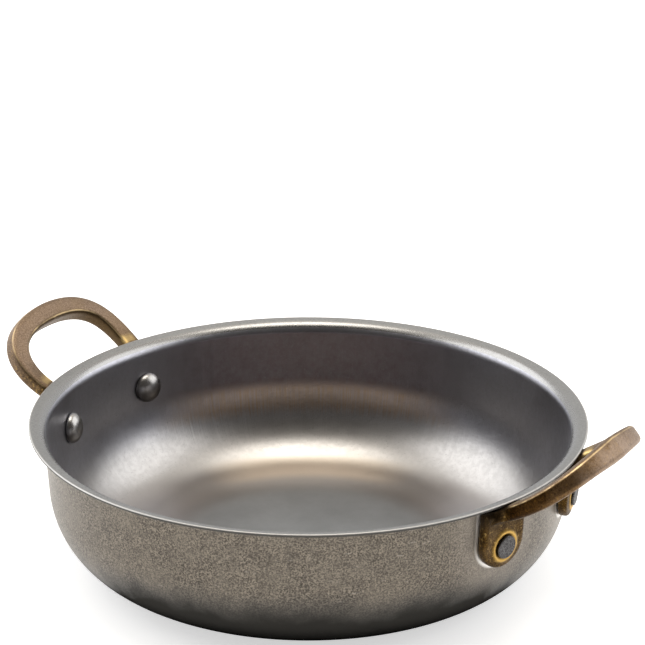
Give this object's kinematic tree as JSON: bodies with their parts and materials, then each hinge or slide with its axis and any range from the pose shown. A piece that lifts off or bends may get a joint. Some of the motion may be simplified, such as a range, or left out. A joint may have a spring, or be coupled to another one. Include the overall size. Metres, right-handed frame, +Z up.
{
  "type": "serving dish",
  "caption": "Round shallow steel serving dish with a turned-out lip and riveted brass loop handles on opposite sides.",
  "frame": {"origin": "under the middle of the base, on the surface that the dish stands on", "axes": "+X through the middles of the handles, +Z up out of the mouth of the dish, +Y across"},
  "size_m": [0.1988, 0.16, 0.0575],
  "materials": {
    "dish_steel": "tumbled matt outside, satin inside",
    "handle_brass": "aged cast brass, worn bright on the edges",
    "rivet_steel": "satin heads, grainy hammered tails"
  },
  "bodies": {
    "root": {"dish_body": "dish_steel", "right_handle": "handle_brass", "left_handle": "handle_brass", "right_handle_back_rivet": "rivet_steel", "right_handle_front_rivet": "rivet_steel", "left_handle_front_rivet": "rivet_steel", "left_handle_back_rivet": "rivet_steel"}
  },
  "joints": []
}
